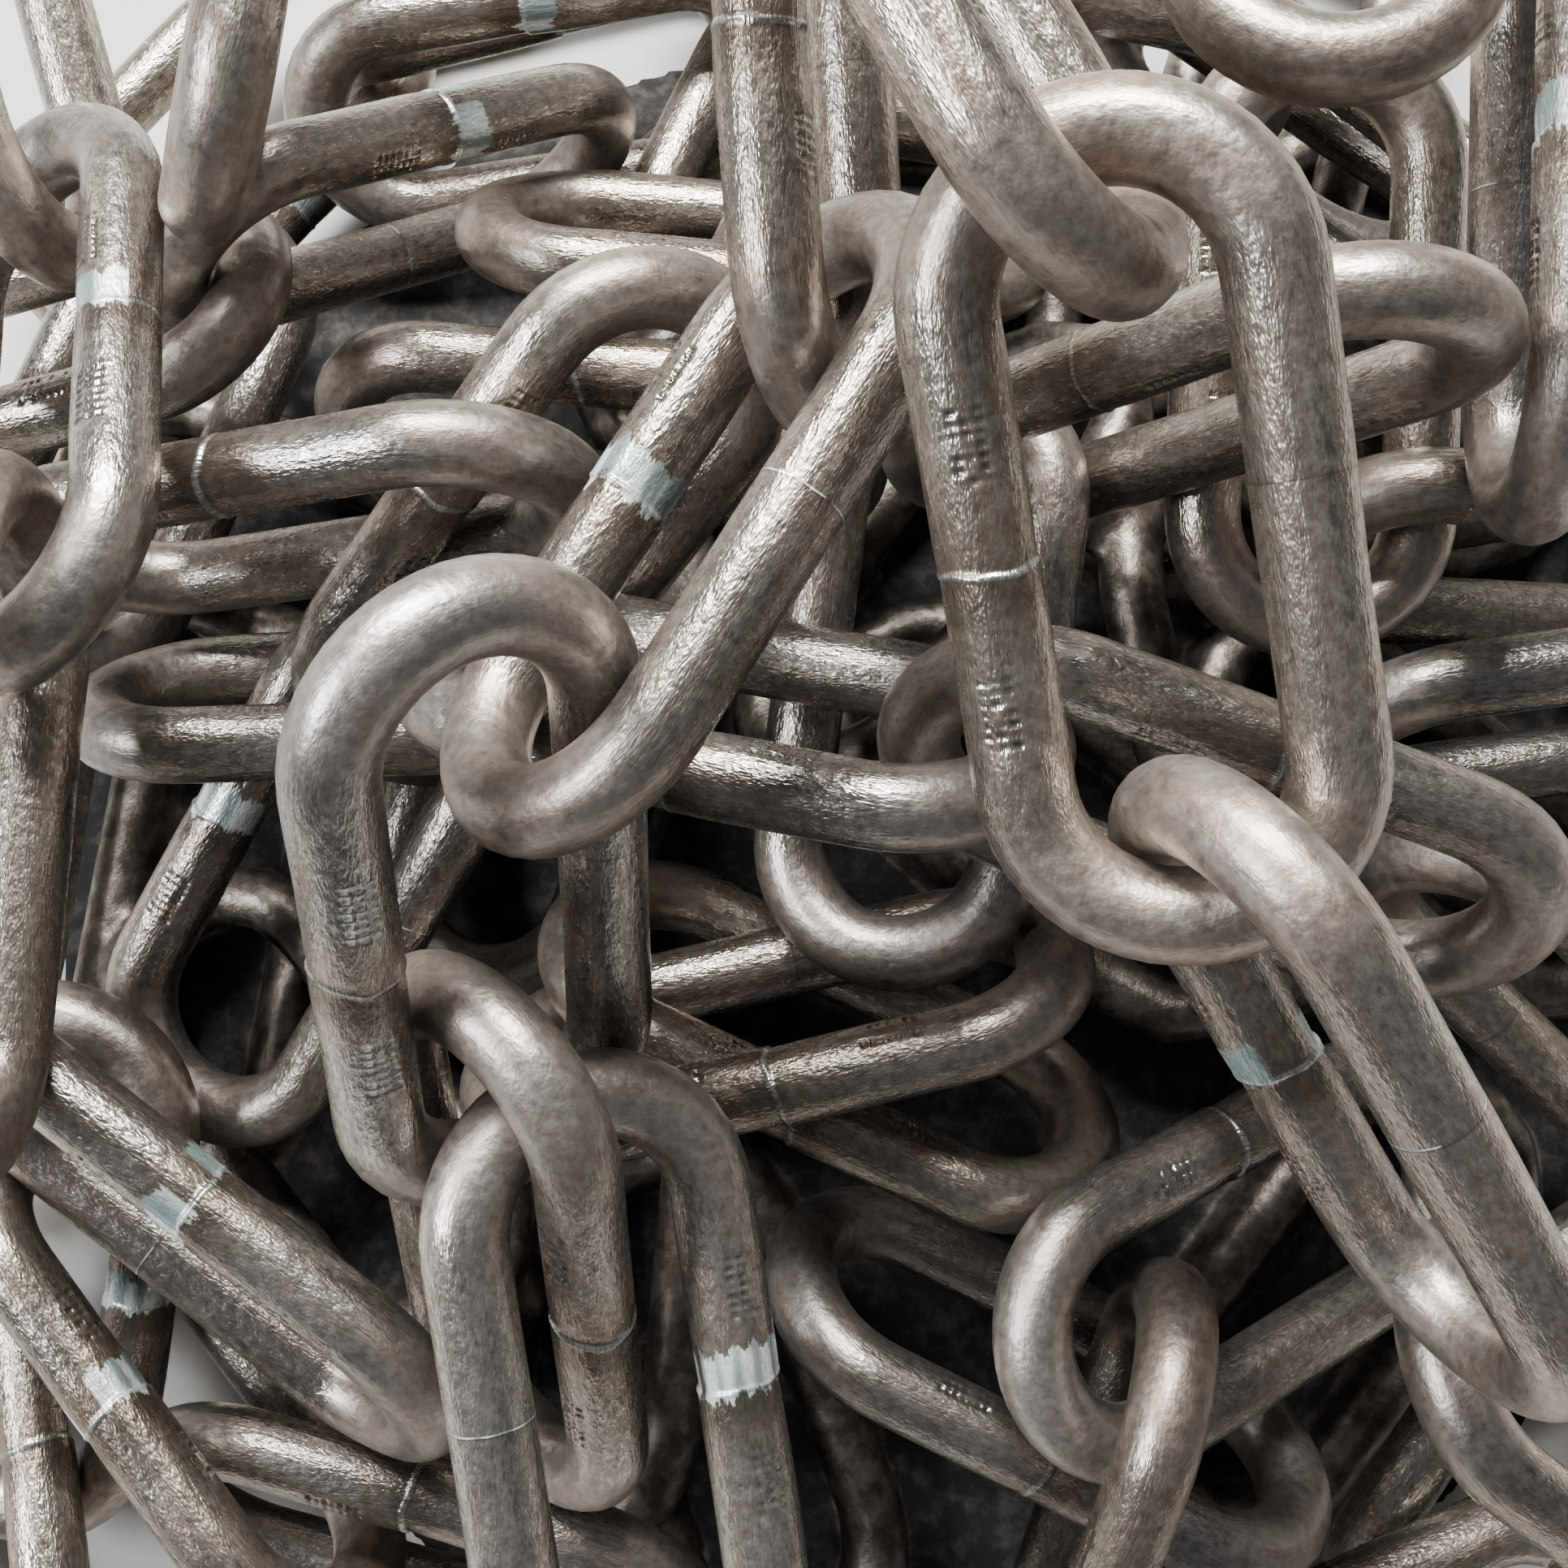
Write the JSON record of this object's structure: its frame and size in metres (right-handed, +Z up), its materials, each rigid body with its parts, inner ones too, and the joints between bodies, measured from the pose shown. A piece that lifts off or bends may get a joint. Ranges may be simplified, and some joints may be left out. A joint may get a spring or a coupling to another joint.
{
  "type": "heap of iron chain",
  "caption": "Low heap of loose bare-steel round-wire long-link chain, links tangled and hooked through each other, resting on the floor.",
  "frame": {"origin": "middle of the heap's outline, on the floor", "axes": "+Z up from the floor, -Y towards the front flank that the picture looks down on, +X to the right in the picture"},
  "size_m": [0.3116, 0.3416, 0.1682],
  "materials": {
    "bare_steel": "self-coloured drawn wire, satin, grey-brown with scraped bright patches at the welds",
    "buried_steel": "the same wire deep in the heap, dark"
  },
  "bodies": {
    "root": {"back_run_a_link_1": "bare_steel", "back_run_a_link_2": "bare_steel", "back_run_a_link_3": "bare_steel", "back_run_a_link_4": "bare_steel", "back_run_b_link_1": "bare_steel", "back_run_b_link_2": "bare_steel", "back_run_d_link_1": "bare_steel", "core_of_buried_links": "buried_steel", "front_link_01": "bare_steel", "front_link_02": "bare_steel", "front_link_03": "bare_steel", "front_link_04": "bare_steel", "front_link_05": "bare_steel", "front_link_06": "bare_steel", "front_link_07": "bare_steel", "front_link_08": "bare_steel", "front_link_09": "bare_steel", "front_link_10": "bare_steel", "front_link_11": "bare_steel", "front_link_12": "bare_steel", "front_link_13": "bare_steel", "front_link_14": "bare_steel", "front_link_15": "bare_steel", "front_link_16": "bare_steel", "front_link_17": "bare_steel", "front_link_18": "bare_steel", "front_link_19": "bare_steel", "front_link_20": "bare_steel", "front_link_21": "bare_steel", "front_link_22": "bare_steel", "front_link_23": "bare_steel", "front_link_24": "bare_steel", "front_link_25": "bare_steel", "front_link_26": "bare_steel", "front_link_27": "bare_steel", "front_link_28": "bare_steel", "front_link_29": "bare_steel", "front_link_30": "bare_steel", "front_link_31": "bare_steel", "front_link_32": "bare_steel", "front_link_33": "bare_steel", "front_link_34": "bare_steel", "front_link_35": "bare_steel", "front_link_36": "bare_steel", "front_link_37": "bare_steel", "front_link_38": "bare_steel", "front_link_39": "bare_steel", "front_link_40": "bare_steel", "front_link_41": "bare_steel", "front_link_42": "bare_steel", "front_run_f_link_1": "bare_steel", "front_run_f_link_2": "bare_steel", "front_run_f_link_3": "bare_steel", "front_run_g_link_1": "bare_steel", "side_run_c_link_1": "bare_steel", "side_run_c_link_2": "bare_steel", "side_run_c_link_3": "bare_steel", "side_run_e_link_1": "bare_steel", "side_run_e_link_2": "bare_steel"}
  },
  "joints": []
}
